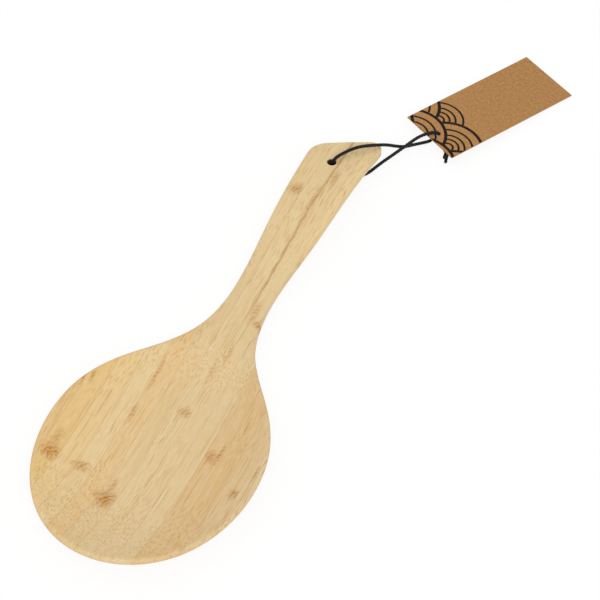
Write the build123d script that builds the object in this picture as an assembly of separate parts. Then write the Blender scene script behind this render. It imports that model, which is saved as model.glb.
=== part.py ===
import os
from math import ceil, cos, pi, radians, sin, tan

from build123d import *

# Rice paddle milled from an edge-glued bamboo board, with a hang cord and a card tag.
# Millimetres. +Z up, +Y from the blade's tip to the handle's end, the origin under the middle
# of the paddle on the flat it rests on. Shapes are drawn with the tip at Y = 0 and moved last.

# Outline, seen from above
blade_width = 87.0
widest_from_tip = 52.4
shoulder_width = 57.6
shoulder_from_tip = 91.4
throat_width = 29.2
throat_from_tip = 111.4
neck_width = 17.0
neck_from_tip = 140.0
grip_width = 20.2
grip_from_tip = 165.4
flare_width = 29.0
end_from_tip = 230.6
flare_past_end = 10.4
flare_from_tip = end_from_tip + flare_past_end
end_lean = 1.2
end_slant = 29.0
end_nose_radius = 3.5
end_heel_radius = 10.0

# Heights of the top face along its middle
tip_height = 14.6
floor_height = 3.3
floor_start_from_tip = 44.0
floor_end_from_tip = 87.0
dish_end_height = 8.0
dish_end_from_tip = 109.0
throat_height = 8.6
throat_rise_from_tip = 123.0
arch_height = 12.5
arch_from_tip = 177.0
end_height = 9.6

# Heights of the top face along its edge
mid_rim_height = 12.7
shoulder_rim_height = 11.4
throat_rim_height = 8.2
arch_rim_height = 11.2
end_rim_height = 8.4

# Underside and edges
rest_cut = 0.4
neck_underside_height = 2.6
arch_underside_height = 5.1
end_underside_height = 2.4
rim_thickness = 2.9
handle_edge_thickness = 4.7
edge_rounding = 1.2

# Glued strips
strip_width = 7.0
glue_line_off_axis = 3.2
middle_strip_number = 7
thinnest_strip_end = 0.5

# Hang hole
hang_hole_diameter = 3.6
hang_hole_from_end = 15.0
hang_hole_from_tip = end_from_tip - hang_hole_from_end
hang_hole_chamfer = 0.4

# Cord
cord_diameter = 1.4
over_bend_height = 12.4
over_joint_height = 8.0
under_joint_height = 5.0
under_bend_height = 1.25
strand_spacing = 1.6

# Knot
knot_across = 38.3
knot_along = 251.7
knot_centre_height = 2.0
knot_heading = 148.0
knot_core_diameter = 3.0
knot_length = 3.5
knot_wrap_diameter = 1.3
knot_wrap_count = 3
knot_stub = 1.3

# Tag
tag_length = 69.5
tag_width = 30.4
tag_thickness = 0.5
tag_hole_diameter = 3.4
tag_hole_from_end = 4.2
tag_hole_across = 31.8
tag_hole_along = 256.0
tag_hole_height = 4.4
tag_far_height = 0.55
tag_heading = 27.9

# Drawing of the curved faces
skin_margin = 5.0
station_count = 45
column_count = 9
tip_share = 0.2
sharp_end_share = 1.2

# Strand over the handle's end, from the hang hole to the knot: across, from the tip, height
over_route = [
    (3.7, 221.6, 12.2),
    (7.3, 226.9, 11.6),
    (11.3, 231.4, 10.9),
    (16.1, 236.3, 9.3),
    (19.2, 241.6, 4.5),
    (21.4, 245.4, 1.6),
    (24.4, 248.7, 1.2),
    (27.5, 251.4, 1.2),
    (30.2, 253.9, 1.2),
    (32.2, 255.6, 1.2),
    (34.3, 256.0, 1.2),
    (36.2, 255.1, 1.2),
]
# Strand under the handle's end, crossing over the other and down through the tag's hole
under_route = [
    (4.8, 218.0, 1.25),
    (9.4, 220.6, 1.25),
    (13.0, 224.2, 1.25),
    (15.6, 231.2, 1.8),
    (19.3, 238.0, 3.1),
    (22.1, 243.0, 4.2),
    (25.4, 249.2, 5.6),
    (28.1, 252.6, 5.9),
    (31.4, 255.8, 5.9),
    (32.2, 256.2, 2.8),
    (34.5, 256.5, 2.8),
    (36.3, 255.3, 2.8),
]
# Tails, from the knot to their cut ends
low_tail_route = [(39.9, 247.7, 1.1), (40.8, 244.6, 1.1)]
high_tail_route = [(39.2, 247.9, 2.8), (39.8, 245.2, 2.7)]


def reading(curve, place):
    """Second coordinate of a curve at the place where its first, which only grows, has the value."""
    low, high = 0.0, 1.0
    for _ in range(30):
        middle = (low + high) / 2
        if curve.position_at(middle).X < place:
            low = middle
        else:
            high = middle
    return curve.position_at(low).Y


# Paddle outline: half an ellipse at the tip, then a curve down each side

def side_line(lean):
    """Half width of one side against distance from the tip, past the widest place."""
    return Spline(
        (widest_from_tip, blade_width / 2),
        (shoulder_from_tip, shoulder_width / 2),
        (throat_from_tip, throat_width / 2),
        (neck_from_tip, neck_width / 2),
        (grip_from_tip, grip_width / 2 + lean / 2),
        (flare_from_tip, flare_width / 2 + lean),
        tangents=[(1, 0), (flare_from_tip - grip_from_tip, (flare_width - grip_width + lean) / 2)],
    )


even_side = side_line(0)


def half_width(place):
    """Half the outline's width at a distance from the tip."""
    if place > widest_from_tip:
        return reading(even_side, place)
    before = (widest_from_tip - place) / widest_from_tip
    return blade_width / 2 * (1 - before**2) ** 0.5


def blank():
    """Upright prism over the outline, its end cut on a slant and its two end corners rounded."""
    tip = EllipticalCenterArc(
        (widest_from_tip, 0), widest_from_tip, blade_width / 2, start_angle=90, arc_size=90
    )
    left = Wire([tip, side_line(-end_lean)]).rotate(Axis.Z, 90)
    right = Wire([tip, side_line(end_lean)]).rotate(Axis.Z, 90).mirror(Plane.YZ)
    corners = [(end_lean + turn * flare_width / 2, flare_from_tip) for turn in (-1, 1)]
    face = Face(Wire(left.edges() + right.edges() + [Line(*corners)]))
    prism = extrude(face, amount=2 * tip_height, dir=(0, 0, 1))
    beyond = Box(2 * blade_width, blade_width, 6 * tip_height, align=(Align.CENTER, Align.MIN, Align.CENTER))
    prism -= Location((0, end_from_tip, 0), (0, 0, end_slant)) * beyond
    for turn, radius in ((1, end_nose_radius), (-1, end_heel_radius)):
        across = end_lean + turn * flare_width / 2
        corner = Vector(across, end_from_tip + across * tan(radians(end_slant)), tip_height)
        edge = min(prism.edges(), key=lambda one: (one.center() - corner).length)
        prism = fillet(edge, radius)
    return prism


# Paddle faces: every cross-section of the top and of the underside is a parabola

middle_line = Spline(
    (floor_end_from_tip, floor_height),
    (dish_end_from_tip, dish_end_height),
    (throat_rise_from_tip, throat_height),
    (arch_from_tip, arch_height),
    (end_from_tip, end_height),
    tangents=[(1, 0), (end_from_tip - arch_from_tip, 2 * (end_height - arch_height))],
)
rim_line = Spline(
    (0, tip_height),
    (widest_from_tip, mid_rim_height),
    (shoulder_from_tip, shoulder_rim_height),
    (throat_from_tip, throat_rim_height),
    (arch_from_tip, arch_rim_height),
    (end_from_tip, end_rim_height),
)
under_line = Spline(
    (dish_end_from_tip, -rest_cut),
    (neck_from_tip, neck_underside_height),
    (arch_from_tip, arch_underside_height),
    (end_from_tip, end_underside_height),
    tangents=[(1, 0), (end_from_tip - arch_from_tip, 2 * (end_underside_height - arch_underside_height))],
)
edge_line = Spline(
    (shoulder_from_tip, rim_thickness),
    (neck_from_tip, handle_edge_thickness),
    (end_from_tip, handle_edge_thickness),
    tangents=[(1, 0), (1, 0)],
)


def tip_rise(place, low, high):
    """Height of a line that is level from the floor's start on and climbs to the tip before it."""
    before = max(0, (floor_start_from_tip - place) / floor_start_from_tip)
    return low + (high - low) * before**2


def top_middle(place):
    """Height of the top face on the axis."""
    if place > floor_end_from_tip:
        return reading(middle_line, place)
    return tip_rise(place, floor_height, tip_height)


def top_rim(place):
    """Height of the top face at the outline."""
    return reading(rim_line, place)


def under_middle(place):
    """Height of the underside on the axis, below zero where the rest flat is cut."""
    if place > dish_end_from_tip:
        return reading(under_line, place)
    return tip_rise(place, -rest_cut, tip_height - rim_thickness)


def under_rim(place):
    """Height of the underside at the outline."""
    thickness = rim_thickness
    if place > shoulder_from_tip:
        thickness = reading(edge_line, place)
    return top_rim(place) - thickness


def skin(middle_height, rim_height):
    """Face that runs past the outline all round."""
    first = -skin_margin
    last = flare_from_tip + skin_margin
    rows = []
    for row in range(station_count):
        place = first + (last - first) * row / (station_count - 1)
        inner = min(max(place, tip_share * widest_from_tip), end_from_tip)
        height = middle_height(min(place, end_from_tip))
        curl = (rim_height(inner) - middle_height(inner)) / half_width(inner) ** 2
        reach = half_width(min(max(place, widest_from_tip), flare_from_tip)) + skin_margin
        points = []
        for column in range(column_count):
            across = reach * (2 * column / (column_count - 1) - 1)
            points.append((across, place, height + curl * across**2))
        rows.append(points)
    return Face.make_surface_from_array_of_points(rows, tol=0.01)


def paddle():
    """The whole paddle before it is told apart into its glued strips."""
    up = Vector(0, 0, 3 * tip_height)
    over = Solid.extrude(skin(top_middle, top_rim), up)
    under = Solid.extrude(skin(under_middle, under_rim), -up)
    body = (blank() - over - under).solids()[0]
    top = max(body.faces(), key=lambda one: one.area * one.normal_at(None).Z)
    bottom = min(body.faces(), key=lambda one: one.area * one.normal_at(None).Z)
    body = body.fillet(edge_rounding, top.outer_wire().edges() + bottom.outer_wire().edges())
    drill = Pos(0, hang_hole_from_tip) * Cylinder(hang_hole_diameter / 2, 6 * tip_height)
    body = (body - drill).solids()[0]
    mouths = [
        one
        for one in body.edges()
        if abs(one.center().Y - hang_hole_from_tip) < hang_hole_diameter
        and abs(one.center().X) < hang_hole_diameter
        and one.length > hang_hole_diameter * 3
        and one.is_closed
    ]
    return body.chamfer(hang_hole_chamfer, None, mouths)


def crossing(width_at, low, high, width):
    """Place between two others where a side that only widens or only narrows has the given width."""
    widening = width_at(high) > width_at(low)
    for _ in range(30):
        middle = (low + high) / 2
        if (width_at(middle) < width) == widening:
            low = middle
        else:
            high = middle
    return low


def reaches(turn, line):
    """Places from the tip between which a side stands clear of a glue line, in the blade and in the handle."""
    side = side_line(turn * end_lean)
    width = line + thinnest_strip_end

    def width_at(place):
        return reading(side, place) if place > widest_from_tip else half_width(place)

    if width_at(widest_from_tip) < width:
        return []
    start = crossing(width_at, 0, widest_from_tip, width)
    if start - crossing(width_at, 0, widest_from_tip, line) < sharp_end_share * thinnest_strip_end:
        start = -skin_margin
    if width_at(neck_from_tip) > width:
        return [(start, 2 * flare_from_tip)]
    spans = [(start, crossing(width_at, widest_from_tip, neck_from_tip, width))]
    if width_at(flare_from_tip) > width + thinnest_strip_end:
        spans.append((crossing(width_at, neck_from_tip, flare_from_tip, width), 2 * flare_from_tip))
    return spans


def strips(body):
    """The pieces the glue lines part the paddle into, by node name, numbered from left to right."""
    count = ceil((blade_width / 2 + glue_line_off_axis) / strip_width)
    pieces = {}
    rest = body
    for turn, name in ((-1, "left"), (1, "right")):
        for place in range(count, 0, -1):
            line = glue_line_off_axis + strip_width * (place * turn - (turn > 0))
            handle_node = f"handle_strip_{name}"
            if handle_node in pieces:
                handle_node += "_inner"
            nodes = (f"strip_{middle_strip_number + place * turn:02d}", handle_node)
            for node, (start, stop) in zip(nodes, reaches(turn, abs(line))):
                slab = Box(blade_width, stop - start, 6 * tip_height, align=(Align.CENTER, Align.MIN, Align.CENTER))
                slab = Pos(line + turn * blade_width / 2, start) * slab
                pieces[node] = rest.intersect(slab).solids()[0]
                rest = (rest - slab).solids()[0]
    pieces[f"strip_{middle_strip_number:02d}"] = rest
    return pieces


# Cord: straight runs joined by arcs, face to face with the knot

def bend_radii(points):
    """Radius at each inner point: nearly half the shorter run goes to each arc."""
    radii = []
    for before, here, after in zip(points, points[1:], points[2:]):
        incoming = Vector(*here) - Vector(*before)
        outgoing = Vector(*after) - Vector(*here)
        turn = radians(incoming.get_angle(outgoing))
        radii.append(0.45 * min(incoming.length, outgoing.length) / tan(turn / 2))
    return radii


def tube(points, name):
    """Round cord along a route."""
    radii = bend_radii(points)
    print(name, "radii", [round(radius, 1) for radius in radii])
    path = FilletPolyline(*points, radius=radii)
    section = Plane(origin=path @ 0, z_dir=path % 0) * Circle(cord_diameter / 2)
    shape = sweep(section, path=path).solids()[0]
    share = shape.volume / (pi * cord_diameter**2 / 4 * path.length)
    print(name, "length", round(path.length, 1), "volume share", round(share, 3))
    return shape


heading = radians(knot_heading)
knot_axis = Vector(sin(heading), cos(heading), 0)
knot_centre = Vector(knot_across, knot_along, knot_centre_height)
lift = Vector(0, 0, strand_spacing / 2)


def knot_end(end, level):
    """Square run onto the knot's flat end, from the knot out: end -1 for strands, 1 for tails."""
    face = knot_centre + knot_axis * (end * knot_length / 2) + lift * level
    return [tuple(face), tuple(face + knot_axis * (end * knot_stub))]


def knot():
    """Core with the wraps drawn tight round it."""
    core = Cylinder(knot_core_diameter / 2, knot_length)
    ring_middle = (knot_core_diameter - knot_wrap_diameter / 2) / 2
    step = knot_length / (knot_wrap_count + 1)
    for wrap in range(knot_wrap_count):
        height = (wrap - (knot_wrap_count - 1) / 2) * step
        core += Pos(0, 0, height) * Torus(ring_middle, knot_wrap_diameter / 2)
    return (Plane(origin=knot_centre, z_dir=knot_axis) * core).solids()[0]


def cord():
    """Cord parts by node name."""
    hole = (0, hang_hole_from_tip)
    over = [(*hole, over_joint_height), (*hole, over_bend_height), *over_route, *reversed(knot_end(-1, -1))]
    under = [(*hole, under_joint_height), (*hole, under_bend_height), *under_route, *reversed(knot_end(-1, 1))]
    middle = over_joint_height - under_joint_height
    stretch = Cylinder(cord_diameter / 2, middle, align=(Align.CENTER, Align.CENTER, Align.MIN))
    return {
        "cord_over": tube(over, "cord_over"),
        "cord_under": tube(under, "cord_under"),
        "cord_in_hole": (Pos(*hole, under_joint_height) * stretch).solids()[0],
        "cord_knot": knot(),
        "cord_tail_low": tube([*knot_end(1, -1), *low_tail_route], "cord_tail_low"),
        "cord_tail_high": tube([*knot_end(1, 1), *high_tail_route], "cord_tail_high"),
    }


# Tag: a card threaded on the cord, its hole end propped up on the knot

def tag():
    """Card with a punched hole, its own hole at the origin before it is laid down."""
    card = Pos(0, tag_length / 2 - tag_hole_from_end) * Box(tag_width, tag_length, tag_thickness)
    card -= Cylinder(tag_hole_diameter / 2, 6 * tag_thickness)
    run = tag_length - tag_hole_from_end
    slope = (tag_far_height - tag_hole_height) / run
    ahead = Vector(sin(radians(tag_heading)), cos(radians(tag_heading)), slope)
    sideways = Vector(cos(radians(tag_heading)), -sin(radians(tag_heading)), 0)
    lie = Plane(origin=(tag_hole_across, tag_hole_along, tag_hole_height), x_dir=sideways, z_dir=sideways.cross(ahead))
    print("tag normal", lie.z_dir, "hole", lie.origin)
    return (lie * card).solids()[0]


whole = paddle()
pieces = strips(whole)
pieces.update(cord())
pieces["tag"] = tag()
paddle_length = whole.bounding_box().max.Y
shift = Pos(0, -paddle_length / 2)
print("paddle length", round(paddle_length, 3), "volume", round(whole.volume), "centre", whole.center())
os.makedirs("parts", exist_ok=True)
for name, piece in pieces.items():
    export_step(shift * piece, f"parts/{name}.step")
    box = piece.bounding_box()
    print(name, piece.is_valid, round(piece.volume, 2), box.size)
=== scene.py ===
import math

import bmesh
import bpy
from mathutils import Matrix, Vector


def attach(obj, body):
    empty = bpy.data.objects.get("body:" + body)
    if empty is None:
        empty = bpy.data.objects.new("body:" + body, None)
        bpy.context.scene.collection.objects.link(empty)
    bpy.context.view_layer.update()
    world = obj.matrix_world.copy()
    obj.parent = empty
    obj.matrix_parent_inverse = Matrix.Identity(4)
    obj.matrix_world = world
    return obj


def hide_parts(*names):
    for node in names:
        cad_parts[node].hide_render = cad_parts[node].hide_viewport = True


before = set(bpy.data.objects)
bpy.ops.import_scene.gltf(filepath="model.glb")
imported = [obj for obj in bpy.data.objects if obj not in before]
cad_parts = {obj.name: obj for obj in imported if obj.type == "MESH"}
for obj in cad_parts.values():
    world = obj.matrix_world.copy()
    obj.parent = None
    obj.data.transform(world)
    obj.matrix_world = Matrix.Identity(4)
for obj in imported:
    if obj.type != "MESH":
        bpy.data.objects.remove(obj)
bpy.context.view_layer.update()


# Board: thirteen strips of natural bamboo glued edge to edge, and two short ones beside the
# handle. Each was split from its own culm, boiled, dried and planed to 7 mm before the glue-up.
# The board was then milled to the dished blade and the arched handle, sanded and lightly oiled.

strip_width = 7.0
glue_line_off_middle = 3.2
hang_hole = (0, 97.313, 0)
# The strip with the hang hole; its material gets painted shade on the hole's wall
drilled_strip = "strip_07"


def linear(code):
    """An sRGB hex colour as linear red, green, blue and alpha."""
    parts = [int(code[i:i + 2], 16) / 255 for i in (1, 3, 5)]
    return (*[p / 12.92 if p <= 0.04045 else ((p + 0.055) / 1.055) ** 2.4 for p in parts], 1)


def node(tree, kind, inputs=(), **settings):
    """Adds a shader node with its settings, and sets or links its inputs."""
    made = tree.nodes.new("ShaderNode" + kind)
    for name, value in settings.items():
        setattr(made, name, value)
    for name, value in dict(inputs).items():
        if isinstance(value, bpy.types.NodeSocket):
            tree.links.new(value, made.inputs[name])
        else:
            made.inputs[name].default_value = value
    return made


def bamboo(name, tone, culm, knuckles, seam_stain, shade_in_hole):
    """Sanded and oiled bamboo: satin, pale straw, with the brown fibre bundles of its own culm.

    The bundles run along the strip, so level faces show them as long lines and sloping faces
    cut them into dashes and dots. Knuckles and stains are (across, along, half width, half
    length, depth of colour), in millimetres. A seam stain has its width, or 0 for none.
    """
    finish = bpy.data.materials.new(name)
    finish.use_nodes = True
    tree = finish.node_tree
    surface = tree.nodes["Principled BSDF"]
    metres = node(tree, "TexCoord").outputs["Object"]
    place = node(tree, "VectorMath", {0: metres, "Scale": 1000}, operation="SCALE").outputs[0]
    in_culm = (culm * 17.3, culm * 41.9, culm * 8.7)
    own = node(tree, "VectorMath", {0: place, 1: in_culm}, operation="ADD").outputs[0]

    # Fibres rise and sink some 2 mm over 30 mm of length, and stay nearly straight seen from above
    slow = node(
        tree, "VectorMath", {0: own, 1: (0.08, 0.03, 0.08)}, operation="MULTIPLY"
    ).outputs[0]
    aside = node(tree, "TexNoise", {"Vector": slow, "Scale": 1, "Detail": 1}).outputs["Color"]
    bent = node(
        tree, "VectorMath", {0: aside, 1: (0.7, 0, 5.5), 2: own}, operation="MULTIPLY_ADD"
    ).outputs[0]
    across, along, up = node(tree, "SeparateXYZ", {0: bent}).outputs
    section = node(tree, "CombineXYZ", {"X": across, "Y": up, "Z": 0}).outputs[0]

    # Real bundles are 0.3 mm thick and 0.8 mm apart; drawn a third thicker, to show
    bundle = node(
        tree, "TexVoronoi", {"Vector": section, "Scale": 1.2, "Randomness": 0.75}, voronoi_dimensions="2D"
    ).outputs["Distance"]
    dots = node(
        tree, "MapRange", {"Value": bundle, "From Min": 0.1, "From Max": 0.33, "To Min": 1, "To Max": 0},
        interpolation_type="SMOOTHSTEP",
    ).outputs[0]
    patches = node(
        tree, "VectorMath", {0: own, 1: (0.3, 0.022, 0.3)}, operation="MULTIPLY"
    ).outputs[0]
    crowd = node(tree, "TexNoise", {"Vector": patches, "Scale": 1, "Detail": 2}).outputs[0]
    crowd = node(
        tree, "MapRange", {"Value": crowd, "From Min": 0.36, "From Max": 0.66, "To Min": 0.15, "To Max": 1}
    ).outputs[0]
    dots = node(tree, "Math", {0: dots, 1: crowd}, operation="MULTIPLY").outputs[0]

    # Fine fibres between the bundles, about 0.3 mm across and 10 mm long
    streaks = node(
        tree, "VectorMath", {0: bent, 1: (3.2, 0.1, 3.2)}, operation="MULTIPLY"
    ).outputs[0]
    fibre = node(
        tree, "TexNoise", {"Vector": streaks, "Scale": 1, "Detail": 3, "Roughness": 0.6}
    ).outputs[0]
    bands = node(
        tree, "VectorMath", {0: own, 1: (0.38, 0.016, 0.38)}, operation="MULTIPLY"
    ).outputs[0]
    band = node(tree, "TexNoise", {"Vector": bands, "Scale": 1, "Detail": 2}).outputs[0]

    pale = linear(tone)
    warm = (pale[0] * 0.90, pale[1] * 0.80, pale[2] * 0.60, 1)
    brown = linear("#B27630")
    fibre_share = node(
        tree, "MapRange", {"Value": fibre, "From Min": 0.38, "From Max": 0.72, "To Min": 0, "To Max": 0.62}
    ).outputs[0]
    colour = node(tree, "Mix", {0: fibre_share, 6: pale, 7: warm}, data_type="RGBA").outputs[2]
    band_share = node(
        tree, "MapRange", {"Value": band, "From Min": 0.42, "From Max": 0.75, "To Min": 0, "To Max": 0.45}
    ).outputs[0]
    colour = node(tree, "Mix", {0: band_share, 6: colour, 7: warm}, data_type="RGBA").outputs[2]
    # Parenchyma between the fibres is blotchy at 2 to 4 mm
    cloud = node(tree, "VectorMath", {0: own, 1: (0.5, 0.22, 0.5)}, operation="MULTIPLY").outputs[0]
    cloud = node(
        tree, "TexNoise", {"Vector": cloud, "Scale": 1, "Detail": 3, "Roughness": 0.6}
    ).outputs[0]
    cloud_share = node(
        tree, "MapRange", {"Value": cloud, "From Min": 0.45, "From Max": 0.72, "To Min": 0, "To Max": 0.5}
    ).outputs[0]
    colour = node(tree, "Mix", {0: cloud_share, 6: colour, 7: warm}, data_type="RGBA").outputs[2]
    # Painted light: the wood is painted paler towards the handle, standing in for more light from the key lamp there
    painted_handle_light = node(tree, "SeparateXYZ", {0: place}).outputs["Y"]
    painted_handle_light = node(
        tree, "MapRange", {"Value": painted_handle_light, "From Min": 0, "From Max": 60, "To Min": 0, "To Max": 0.32}
    ).outputs[0]
    colour = node(
        tree, "Mix", {0: painted_handle_light, 6: colour, 7: linear("#F2D6A0")}, data_type="RGBA"
    ).outputs[2]
    dot_share = node(tree, "Math", {0: dots, 1: 0.5}, operation="MULTIPLY").outputs[0]
    colour = node(tree, "Mix", {0: dot_share, 6: colour, 7: brown}, data_type="RGBA").outputs[2]

    # Culm knuckles: the fibres part round a bud, in torn golden-brown arcs 1.7 mm apart
    torn = node(
        tree, "TexNoise", {"Vector": place, "Scale": 0.5, "Detail": 4, "Roughness": 0.65}
    ).outputs["Color"]
    for aside_mm, along_mm, half_width, half_length, depth in knuckles:
        wander = (min(half_width, 4) * 1.2, min(half_length, 4) * 1.2)
        offset = node(
            tree, "VectorMath", {0: torn, 1: (*wander, 0), 2: place}, operation="MULTIPLY_ADD"
        ).outputs[0]
        middle = (aside_mm + wander[0] / 2, along_mm + wander[1] / 2, 0)
        offset = node(tree, "VectorMath", {0: offset, 1: middle}, operation="SUBTRACT").outputs[0]
        offset = node(
            tree, "VectorMath", {0: offset, 1: (1, 1, 0)}, operation="MULTIPLY"
        ).outputs[0]
        scaled = node(
            tree, "VectorMath", {0: offset, 1: (1 / half_width, 1 / half_length, 0)}, operation="MULTIPLY"
        ).outputs[0]
        reach = node(tree, "VectorMath", {0: scaled}, operation="LENGTH").outputs["Value"]
        near = node(
            tree, "MapRange", {"Value": reach, "From Min": 0.1, "From Max": 1, "To Min": depth, "To Max": 0},
            interpolation_type="SMOOTHSTEP",
        ).outputs[0]
        bud = (half_width * 0.6, -half_length * 0.35, 0)
        from_bud = node(
            tree, "VectorMath", {0: offset, 1: bud}, operation="DISTANCE"
        ).outputs["Value"]
        turns = node(tree, "Math", {0: from_bud, 1: 3.7}, operation="MULTIPLY").outputs[0]
        arc = node(tree, "Math", {0: turns}, operation="COSINE").outputs[0]
        arc = node(
            tree, "MapRange", {"Value": arc, "From Min": -0.8, "From Max": 0.9, "To Min": 0.4, "To Max": 1}
        ).outputs[0]
        share = node(
            tree, "Math", {0: near, 1: arc}, operation="MULTIPLY", use_clamp=True
        ).outputs[0]
        colour = node(
            tree, "Mix", {0: share, 6: colour, 7: linear("#B5751F")}, data_type="RGBA"
        ).outputs[2]

    # A glue line, a hair wide, at each strip's edge
    x_mm, y_mm, z_mm = node(tree, "SeparateXYZ", {0: place}).outputs
    from_line = node(
        tree, "Math", {0: x_mm, 1: glue_line_off_middle}, operation="SUBTRACT"
    ).outputs[0]
    beside = node(tree, "Math", {0: from_line, 1: strip_width / 2}, operation="PINGPONG").outputs[0]
    glue = node(
        tree, "MapRange", {"Value": beside, "From Min": 0.05, "From Max": 0.28, "To Min": 0.2, "To Max": 0},
        interpolation_type="SMOOTHSTEP",
    ).outputs[0]
    colour = node(tree, "Mix", {0: glue, 6: colour, 7: brown}, data_type="RGBA").outputs[2]

    # Brown skin left on the edges of the two strips that meet 3.2 mm off the middle, up the handle:
    # a dark hair line on the seam, and a broken brown band beside it
    if seam_stain:
        broken = node(
            tree, "VectorMath", {0: own, 1: (2.4, 0.2, 2.4)}, operation="MULTIPLY"
        ).outputs[0]
        broken = node(tree, "TexNoise", {"Vector": broken, "Scale": 1, "Detail": 3}).outputs[0]
        broken = node(
            tree, "MapRange", {"Value": broken, "From Min": 0.42, "From Max": 0.58, "To Min": 0.1, "To Max": 1}
        ).outputs[0]
        off = node(tree, "Math", {0: from_line}, operation="ABSOLUTE").outputs[0]
        skin = node(
            tree, "MapRange", {"Value": off, "From Min": 0.2, "From Max": seam_stain, "To Min": 0.65, "To Max": 0},
            interpolation_type="SMOOTHSTEP",
        ).outputs[0]
        handle = node(
            tree, "MapRange", {"Value": y_mm, "From Min": 4, "From Max": 24, "To Min": 0, "To Max": 1}
        ).outputs[0]
        skin = node(tree, "Math", {0: skin, 1: broken}, operation="MULTIPLY").outputs[0]
        hair = node(
            tree, "MapRange", {"Value": off, "From Min": 0.12, "From Max": 0.34, "To Min": 0.5, "To Max": 0}
        ).outputs[0]
        skin = node(tree, "Math", {0: skin, 1: hair}, operation="MAXIMUM").outputs[0]
        skin = node(tree, "Math", {0: skin, 1: handle}, operation="MULTIPLY").outputs[0]
        colour = node(
            tree, "Mix", {0: skin, 6: colour, 7: linear("#AD7430")}, data_type="RGBA"
        ).outputs[2]

    # The drilled wall of the hang hole, end grain, is painted dark brown: painted shade, for the shadow that falls
    # inside the hole
    if shade_in_hole:
        axis = node(tree, "VectorMath", {0: place, 1: (1, 1, 0)}, operation="MULTIPLY").outputs[0]
        axis = node(
            tree, "VectorMath", {0: axis, 1: hang_hole}, operation="DISTANCE"
        ).outputs["Value"]
        painted_hole_shade = node(
            tree, "MapRange", {"Value": axis, "From Min": 1.85, "From Max": 2.2, "To Min": 0.93, "To Max": 0}
        ).outputs[0]
        colour = node(
            tree, "Mix", {0: painted_hole_shade, 6: colour, 7: linear("#2C1C10")}, data_type="RGBA"
        ).outputs[2]

    # Oil leaves a satin, a little glossier on the hard bundles, which stand a few hundredths proud
    gloss = node(
        tree, "MapRange", {"Value": fibre, "From Min": 0.3, "From Max": 0.7, "To Min": 0.5, "To Max": 0.62}
    ).outputs[0]
    relief = node(tree, "Math", {0: dots, 1: 0.6, 2: fibre}, operation="MULTIPLY_ADD").outputs[0]
    bump = node(tree, "Bump", {"Strength": 0.35, "Distance": 0.00006, "Height": relief}).outputs[0]
    tree.links.new(colour, surface.inputs["Base Color"])
    tree.links.new(gloss, surface.inputs["Roughness"])
    tree.links.new(bump, surface.inputs["Normal"])
    surface.inputs["IOR"].default_value = 1.47
    surface.inputs["Specular IOR Level"].default_value = 0.35
    return finish


# Tone, culm, knuckles and stain of each strip, from the left edge to the right
strip_looks = {
    "strip_01": ("#E8C892", 1, [(-39.4, -48.0, 0.9, 4.0, 0.9)], 0),
    "strip_02": (
        "#EACB92", 2,
        [
            (-34.9, -82.0, 5.4, 5.8, 0.95), (-35.8, -75.0, 3.0, 6.5, 0.5),
            (-36.9, -45.0, 1.0, 4.5, 0.8),
        ],
        0,
    ),
    "strip_03": ("#ECD09D", 3, [(-25.9, -81.5, 2.2, 2.2, 0.45)], 0),
    "strip_04": ("#EBD2A4", 4, [(-22.2, -80.9, 5.0, 3.8, 0.75)], 0),
    "strip_05": (
        "#E9CB99", 5,
        [
            (-17.0, -30.0, 1.2, 13.0, 0.65), (-17.2, -50.0, 1.8, 7.0, 0.6),
            (-11.6, -89.0, 2.2, 3.0, 0.5),
        ],
        0,
    ),
    "strip_06": (
        "#E8CEA1", 6,
        [
            (-7.4, -89.8, 5.6, 6.4, 1.0), (-8.0, -83.0, 2.2, 6.0, 0.5),
            (-6.4, 75.8, 5.4, 5.0, 0.75),
        ],
        0,
    ),
    "strip_07": (
        "#E8D1A5", 7,
        [
            (0.4, -40.3, 4.6, 3.6, 0.7), (1.6, -20.0, 1.4, 9.0, 0.5),
            (2.2, 72.0, 1.0, 16.0, 0.5),
        ],
        1.2,
    ),
    "strip_08": (
        "#E8D0A4", 8,
        [
            (8.9, 7.1, 2.8, 3.0, 0.9), (5.4, 12.0, 2.6, 10.0, 0.5),
            (4.7, -10.6, 1.2, 8.0, 0.5), (5.2, 89.0, 2.2, 8.0, 0.6),
        ],
        0.9,
    ),
    "strip_09": ("#E8D1A6", 9, [], 0),
    "strip_10": ("#E5C798", 10, [(19.6, -56.0, 4.2, 4.4, 0.7), (22.7, -54.5, 1.2, 8.0, 0.9)], 0),
    "strip_11": ("#E4C594", 11, [(27.1, -40.0, 0.6, 8.0, 0.8)], 0),
    "strip_12": ("#E4CA9E", 12, [(37.0, -70.1, 3.8, 3.8, 0.8)], 0),
    "strip_13": ("#E4CBA0", 13, [(40.5, -60.0, 1.0, 6.0, 0.6)], 0),
    "handle_strip_left": ("#E9D1A4", 14, [], 0),
    "handle_strip_right": ("#EED5A6", 15, [], 0),
}
for strip, (tone, culm, knuckles, stain) in strip_looks.items():
    finish = bamboo("bamboo_" + strip, tone, culm, knuckles, stain, strip == drilled_strip)
    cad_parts[strip].data.materials[0] = finish


# Cord: one length of 1.4 mm black waxed cotton cord, three plies laid together. It goes up
# through the hang hole, over the handle's end and back under it, both strands meet in one
# knot below the tag, and two short tails stand out of the knot.

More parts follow.
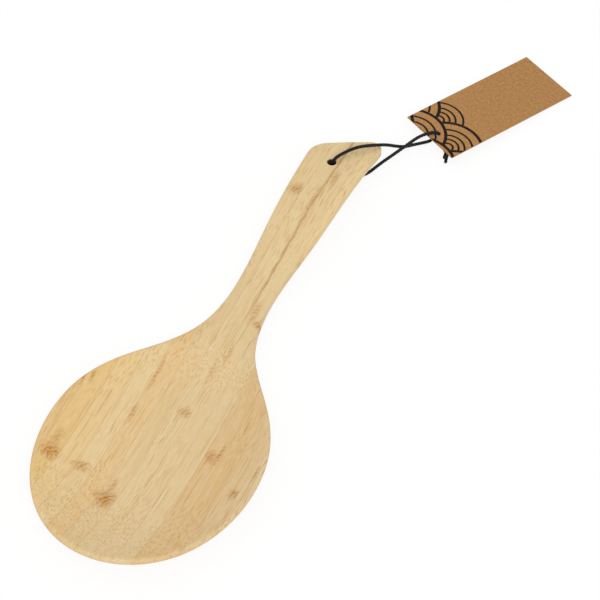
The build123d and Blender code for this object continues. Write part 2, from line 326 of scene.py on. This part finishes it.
# Over the crowns of the plies; the grooves bring the mean down to 0.7
cord_radius = 0.76
lay_length = 4.2
over_route = [
    (0, 97.313, 8.0), (0, 97.313, 12.4), (3.4, 103.913, 12.7), (7.0, 109.213, 12.3),
    (11.1, 113.413, 11.0),
    (16.1, 118.013, 9.3), (19.2, 123.313, 4.5), (21.4, 127.113, 1.6), (24.4, 130.413, 1.2),
    (27.5, 133.113, 1.2), (30.2, 135.613, 1.2), (30.2, 138.9, 1.2), (30.6, 140.5, 1.2),
    (33.0, 140.9, 1.2), (35.5, 138.713, 1.2), (36.2, 136.813, 1.2), (36.684, 136, 1.2), (37.373, 134.897, 1.2),
]
under_route = [
    (0, 97.313, 5.0), (0, 97.313, 1.25), (4.8, 99.713, 1.25), (9.4, 102.313, 1.25), (13.0, 105.913, 1.25),
    (15.6, 112.913, 1.8), (19.3, 119.713, 3.1), (22.1, 124.713, 4.2), (25.4, 130.913, 5.6),
    (28.1, 134.313, 5.9), (31.4, 137.1, 5.9), (32.0, 139.4, 2.8), (34.9, 138.6, 2.8),
    (36.4, 137.013, 2.8), (36.684, 136, 2.8), (37.373, 134.897, 2.8),
]


def waxed_cotton(name):
    """Waxed cotton: nearly black, with a soft greyish shine on the crowns of the plies."""
    finish = bpy.data.materials.new(name)
    finish.use_nodes = True
    tree = finish.node_tree
    surface = tree.nodes["Principled BSDF"]
    metres = node(tree, "TexCoord").outputs["Object"]
    # Yarn is 0.25 mm thick, and the wax lies on it in patches of about 1 mm
    yarn = node(
        tree, "TexNoise", {"Vector": metres, "Scale": 4000, "Detail": 2, "Roughness": 0.6}
    ).outputs[0]
    wax = node(tree, "TexNoise", {"Vector": metres, "Scale": 900, "Detail": 1}).outputs[0]
    dusty = node(tree, "MapRange", {"Value": yarn, "From Min": 0.4, "From Max": 0.75}).outputs[0]
    colour = node(
        tree, "Mix", {0: dusty, 6: linear("#070504"), 7: linear("#15110F")}, data_type="RGBA"
    ).outputs[2]
    shine = node(
        tree, "MapRange", {"Value": wax, "From Min": 0.35, "From Max": 0.65, "To Min": 0.36, "To Max": 0.52}
    ).outputs[0]
    bump = node(tree, "Bump", {"Strength": 0.5, "Distance": 0.00004, "Height": yarn}).outputs[0]
    tree.links.new(colour, surface.inputs["Base Color"])
    tree.links.new(shine, surface.inputs["Roughness"])
    tree.links.new(bump, surface.inputs["Normal"])
    surface.inputs["IOR"].default_value = 1.44
    surface.inputs["Specular IOR Level"].default_value = 0.28
    surface.inputs["Sheen Weight"].default_value = 0.03
    surface.inputs["Sheen Roughness"].default_value = 0.4
    return finish


black_cord = waxed_cotton("black_waxed_cotton")


def centreline(name, route):
    """Points in metres along the smooth line that a route in millimetres steers."""
    line = bpy.data.curves.new(name, "CURVE")
    line.dimensions = "3D"
    line.resolution_u = 24
    spline = line.splines.new("NURBS")
    spline.points.add(len(route) - 1)
    for point, (x, y, z) in zip(spline.points, route):
        point.co = (x / 1000, y / 1000, z / 1000, 1)
    spline.order_u = 3
    spline.use_endpoint_u = True
    mesh = bpy.data.meshes.new_from_object(bpy.data.objects.new(name, line))
    return [vertex.co.copy() for vertex in mesh.vertices]


def even_steps(points, step):
    """The same line with its points a step apart."""
    spaced = [points[0]]
    left = step
    for start, stop in zip(points, points[1:]):
        run = (stop - start).length
        done = 0.0
        while run - done >= left:
            done += left
            spaced.append(start.lerp(stop, done / run))
            left = step
        left -= run - done
    if (spaced[-1] - points[-1]).length > step / 4:
        spaced.append(points[-1])
    return spaced


def laid_cord(name, points, radius, body="cord"):
    """Three plies laid together along a line, with closed, slightly domed ends."""
    step = radius / 2800
    points = even_steps(points, step)
    plies, around = 3, 24
    groove = 0.2
    form = bmesh.new()
    ahead = (points[1] - points[0]).normalized()
    side = ahead.orthogonal().normalized()
    rings = []
    last = len(points) - 1
    for place, point in enumerate(points):
        turned = (points[min(place + 1, last)] - points[max(place - 1, 0)]).normalized()
        side = (ahead.rotation_difference(turned) @ side).normalized()
        ahead = turned
        other = ahead.cross(side)
        lay = 2 * math.pi * place * step * 1000 / lay_length
        end = min(place, last - place)
        trim = (0.55, 0.85, 1.0)[min(end, 2)]
        ring = []
        for corner in range(around):
            angle = 2 * math.pi * corner / around
            crown = abs(math.cos(plies * angle / 2))
            reach = trim * radius / 1000 * (1 - groove * (1 - crown))
            turn = angle + lay
            ring.append(form.verts.new(point + reach * (math.cos(turn) * side + math.sin(turn) * other)))
        rings.append(ring)
    for near, far in zip(rings, rings[1:]):
        for corner in range(around):
            after = (corner + 1) % around
            form.faces.new((near[corner], near[after], far[after], far[corner]))
    form.faces.new(list(reversed(rings[0])))
    form.faces.new(rings[-1])
    mesh = bpy.data.meshes.new(name)
    form.to_mesh(mesh)
    form.free()
    for face in mesh.polygons:
        face.use_smooth = True
    mesh.materials.append(black_cord)
    piece = bpy.data.objects.new(name, mesh)
    bpy.context.scene.collection.objects.link(piece)
    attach(piece, body)
    return piece


over_line = centreline("over_line", over_route)
under_line = centreline("under_line", under_route)
strand_over = laid_cord("strand_over", over_line, cord_radius)
strand_under = laid_cord("strand_under", under_line, cord_radius)
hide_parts("cord_over")
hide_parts("cord_under")
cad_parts["cord_in_hole"].data.materials[0] = black_cord


# Knot: both strands are laid side by side and wrapped three times round with the cord itself,
# pulled down hard, so that the wraps bed into each other. The tails run on out of it and are
# cut square.

knot_middle = Vector((38.3, 133.413, 2.0))
knot_way = Vector((math.sin(math.radians(148)), math.cos(math.radians(148)), 0))
knot_across = Vector((knot_way.y, -knot_way.x, 0))
knot_up = Vector((0, 0, 1))
knot_length = 3.5
wraps = 3
wrap_radius = 0.62
wrap_reach = 1.17
wrap_route = []
points_a_turn = 12
for number in range(wraps * points_a_turn + 1):
    turn = 2 * math.pi * number / points_a_turn
    on = (number / (wraps * points_a_turn) - 0.5) * (knot_length - 2 * wrap_radius)
    tuck = 0.75 if number in (0, wraps * points_a_turn) else 1
    spot = knot_middle + knot_way * on
    spot += wrap_reach * tuck * (math.cos(turn) * knot_across + math.sin(turn) * knot_up)
    wrap_route.append(tuple(spot))
knot = laid_cord("knot_wraps", centreline("knot_line", wrap_route), wrap_radius)
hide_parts("cord_knot")

for name, level, ends in (
    ("tail_low", -0.8, [(39.9, 129.413, 1.1), (40.8, 126.313, 1.1)]),
    ("tail_high", 0.8, [(39.2, 129.613, 2.8), (39.8, 126.913, 2.7)]),
):
    inside = [tuple(knot_middle + knot_way * on + knot_up * level) for on in (-1.75, 0, 1.75, 3.05)]
    tail = laid_cord(name, centreline(name + "_line", inside + ends), cord_radius)
    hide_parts("cord_" + name)


# Tag: a plain card of unbleached kraft board, die-cut with a round hole and printed in black
# on its threaded end with the traditional wave pattern, rows of fans of rings, each row half
# hidden by the next. The rest of the card is bare.

tag_hole = Vector((31.8, 137.713, 4.4))
tag_along = Vector((0.467119, 0.882234, -0.058856))
tag_across = Vector((0.883766, -0.46793, 0))
fan_radius = 16.0
ring_radii = (2.5, 5.0, 7.6, 11.0)
fine_line = 0.95
bold_line = 1.45
# Fans from the back row to the front: across, along from the hole, whether it has a bold rim
fans = [
    (-6.2, 5.9, False), (-21.5, -0.6, True), (9.2, -1.9, True), (-6.4, -9.5, True),
    (25.2, -9.7, True), (9.2, -17.6, True), (-21.5, -15.9, True),
]


def kraft_board(name):
    """Kraft board: matt brown paper with short fibres and flecks, and black ink sunk into it."""
    finish = bpy.data.materials.new(name)
    finish.use_nodes = True
    tree = finish.node_tree
    surface = tree.nodes["Principled BSDF"]
    metres = node(tree, "TexCoord").outputs["Object"]
    place = node(tree, "VectorMath", {0: metres, "Scale": 1000}, operation="SCALE").outputs[0]
    offset = node(tree, "VectorMath", {0: place, 1: tag_hole}, operation="SUBTRACT").outputs[0]
    u = node(
        tree, "VectorMath", {0: offset, 1: tag_across}, operation="DOT_PRODUCT"
    ).outputs["Value"]
    v = node(
        tree, "VectorMath", {0: offset, 1: tag_along}, operation="DOT_PRODUCT"
    ).outputs["Value"]
    flat = node(tree, "CombineXYZ", {"X": u, "Y": v, "Z": 0}).outputs[0]

    # Pulp fibres are 0.03 mm thick; drawn as 0.3 mm mottle and 0.5 mm flecks, to show
    mottle = node(
        tree, "TexNoise", {"Vector": flat, "Scale": 0.8, "Detail": 5, "Roughness": 0.8}
    ).outputs[0]
    cloud = node(tree, "TexNoise", {"Vector": flat, "Scale": 0.16, "Detail": 2}).outputs[0]
    fleck = node(
        tree, "TexVoronoi", {"Vector": flat, "Scale": 0.8, "Randomness": 1}
    ).outputs["Distance"]
    share = node(tree, "MapRange", {"Value": mottle, "From Min": 0.3, "From Max": 0.7}).outputs[0]
    colour = node(
        tree, "Mix", {0: share, 6: linear("#CF9D66"), 7: linear("#986B3C")}, data_type="RGBA"
    ).outputs[2]
    share = node(
        tree, "MapRange", {"Value": cloud, "From Min": 0.35, "From Max": 0.65, "To Min": 0, "To Max": 0.35}
    ).outputs[0]
    colour = node(
        tree, "Mix", {0: share, 6: colour, 7: linear("#B98858")}, data_type="RGBA"
    ).outputs[2]
    share = node(
        tree, "MapRange", {"Value": fleck, "From Min": 0.06, "From Max": 0.2, "To Min": 0.45, "To Max": 0}
    ).outputs[0]
    colour = node(
        tree, "Mix", {0: share, 6: colour, 7: linear("#8F6236")}, data_type="RGBA"
    ).outputs[2]

    # Fan by fan, from the back: inside its rim a fan hides what is behind it
    ink = None
    for across, along, rimmed in fans:
        reach = node(
            tree, "VectorMath", {0: flat, 1: (across, along, 0)}, operation="DISTANCE"
        ).outputs["Value"]
        rings = None
        lines = [(radius, fine_line) for radius in ring_radii]
        if rimmed:
            lines.append((fan_radius - bold_line / 2, bold_line))
        for radius, width in lines:
            off = node(tree, "Math", {0: reach, 1: radius}, operation="SUBTRACT").outputs[0]
            off = node(tree, "Math", {0: off}, operation="ABSOLUTE").outputs[0]
            line = node(
                tree, "MapRange",
                {"Value": off, "From Min": width / 2 - 0.05, "From Max": width / 2 + 0.05, "To Min": 1, "To Max": 0},
            ).outputs[0]
            if rings is None:
                rings = line
            else:
                rings = node(tree, "Math", {0: rings, 1: line}, operation="MAXIMUM").outputs[0]
        if ink is None:
            ink = rings
            continue
        within = node(tree, "Math", {0: reach, 1: fan_radius}, operation="LESS_THAN").outputs[0]
        ink = node(tree, "Mix", {0: within, 2: ink, 3: rings}).outputs[0]

    # Only the upper face is printed
    facing = node(tree, "SeparateXYZ", {0: node(tree, "TexCoord").outputs["Normal"]}).outputs["Z"]
    facing = node(tree, "Math", {0: facing, 1: 0.5}, operation="GREATER_THAN").outputs[0]
    ink = node(tree, "Math", {0: ink, 1: facing}, operation="MULTIPLY").outputs[0]
    worn = node(
        tree, "MapRange", {"Value": mottle, "From Min": 0.25, "From Max": 0.5, "To Min": 0.86, "To Max": 1}
    ).outputs[0]
    ink = node(tree, "Math", {0: ink, 1: worn}, operation="MULTIPLY", use_clamp=True).outputs[0]
    colour = node(
        tree, "Mix", {0: ink, 6: colour, 7: linear("#120905")}, data_type="RGBA"
    ).outputs[2]
    matt = node(tree, "MapRange", {"Value": ink, "To Min": 0.86, "To Max": 0.6}).outputs[0]
    bump = node(tree, "Bump", {"Strength": 0.4, "Distance": 0.00005, "Height": mottle}).outputs[0]
    tree.links.new(colour, surface.inputs["Base Color"])
    tree.links.new(matt, surface.inputs["Roughness"])
    tree.links.new(bump, surface.inputs["Normal"])
    surface.inputs["IOR"].default_value = 1.5
    surface.inputs["Specular IOR Level"].default_value = 0.12
    return finish


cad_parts["tag"].data.materials[0] = kraft_board("printed_kraft_board")


# Set: a seamless white table top under broad, soft light, as for a catalogue picture. The lens
# looks down at 51 degrees, with the paddle's blade to the lower left.

table_form = bmesh.new()
bmesh.ops.create_grid(table_form, x_segments=8, y_segments=8, size=2.5)
table_mesh = bpy.data.meshes.new("table_top")
table_form.to_mesh(table_mesh)
table_form.free()
table_top = bpy.data.objects.new("table_top", table_mesh)
bpy.context.scene.collection.objects.link(table_top)


def shown_directly(tree):
    """1 where the surface is seen by the lens, in a reflection or through glass, else 0."""
    path = node(tree, "LightPath").outputs
    seen = node(
        tree, "Math", {0: path["Is Camera Ray"], 1: path["Is Glossy Ray"]}, operation="MAXIMUM"
    ).outputs[0]
    return node(tree, "Math", {0: seen, 1: path["Is Transmission Ray"]}, operation="MAXIMUM").outputs[0]


# The rest is lit by the lamps, so that the paper keeps the shadow
paper_glow = 0.86
white_paper = bpy.data.materials.new("white_backdrop_paper")
white_paper.use_nodes = True
tree = white_paper.node_tree
matt_white = tree.nodes["Principled BSDF"]
matt_white.inputs["Base Color"].default_value = linear("#F4F4F3")
matt_white.inputs["Roughness"].default_value = 0.9
matt_white.inputs["Specular IOR Level"].default_value = 0.1
glow = node(tree, "Emission", {"Color": (1, 1, 1, 1), "Strength": 1.03}).outputs[0]
amount = node(
    tree, "Math", {0: shown_directly(tree), 1: paper_glow}, operation="MULTIPLY"
).outputs[0]
mixed = node(tree, "MixShader", {0: amount, 1: matt_white.outputs[0], 2: glow}).outputs[0]
tree.links.new(mixed, tree.nodes["Material Output"].inputs["Surface"])
table_mesh.materials.append(white_paper)

sky = bpy.data.worlds.new("soft_room")
bpy.context.scene.world = sky
sky.use_nodes = True
tree = sky.node_tree
tree.nodes.clear()
room = node(tree, "Background", {"Color": linear("#FBFBFA"), "Strength": 0.64}).outputs[0]
plain = node(tree, "Background", {"Color": (1, 1, 1, 1), "Strength": 1}).outputs[0]
mixed = node(tree, "MixShader", {0: shown_directly(tree), 1: room, 2: plain}).outputs[0]
tree.links.new(mixed, node(tree, "OutputWorld").inputs["Surface"])


def softbox(name, place, size, watts):
    """Square lamp aimed at the middle of the table."""
    lamp = bpy.data.lights.new(name, "AREA")
    lamp.shape = "SQUARE"
    lamp.size = size
    lamp.energy = watts
    holder = bpy.data.objects.new(name, lamp)
    holder.location = place
    holder.rotation_euler = (-Vector(place)).to_track_quat("-Z", "Y").to_euler()
    bpy.context.scene.collection.objects.link(holder)


softbox("key_softbox", (0.55, -0.75, 1.1), 0.9, 7.6)
softbox("fill_softbox", (-0.8, 0.35, 1.2), 1.1, 2.0)

lens = bpy.data.cameras.new("lens")
lens.lens = 118.43
lens.sensor_width = 36
lens.shift_x = -0.5 / 600
lens.shift_y = 0.5 / 600
lens.clip_start = 0.05
camera = bpy.data.objects.new("camera", lens)
camera.location = (0.232495, -0.426043, 0.625332)
camera.rotation_euler = [math.radians(angle) for angle in (38.97990, 0.09562, 25.17484)]
bpy.context.scene.collection.objects.link(camera)
bpy.context.scene.camera = camera
bpy.context.scene.view_settings.view_transform = "Standard"
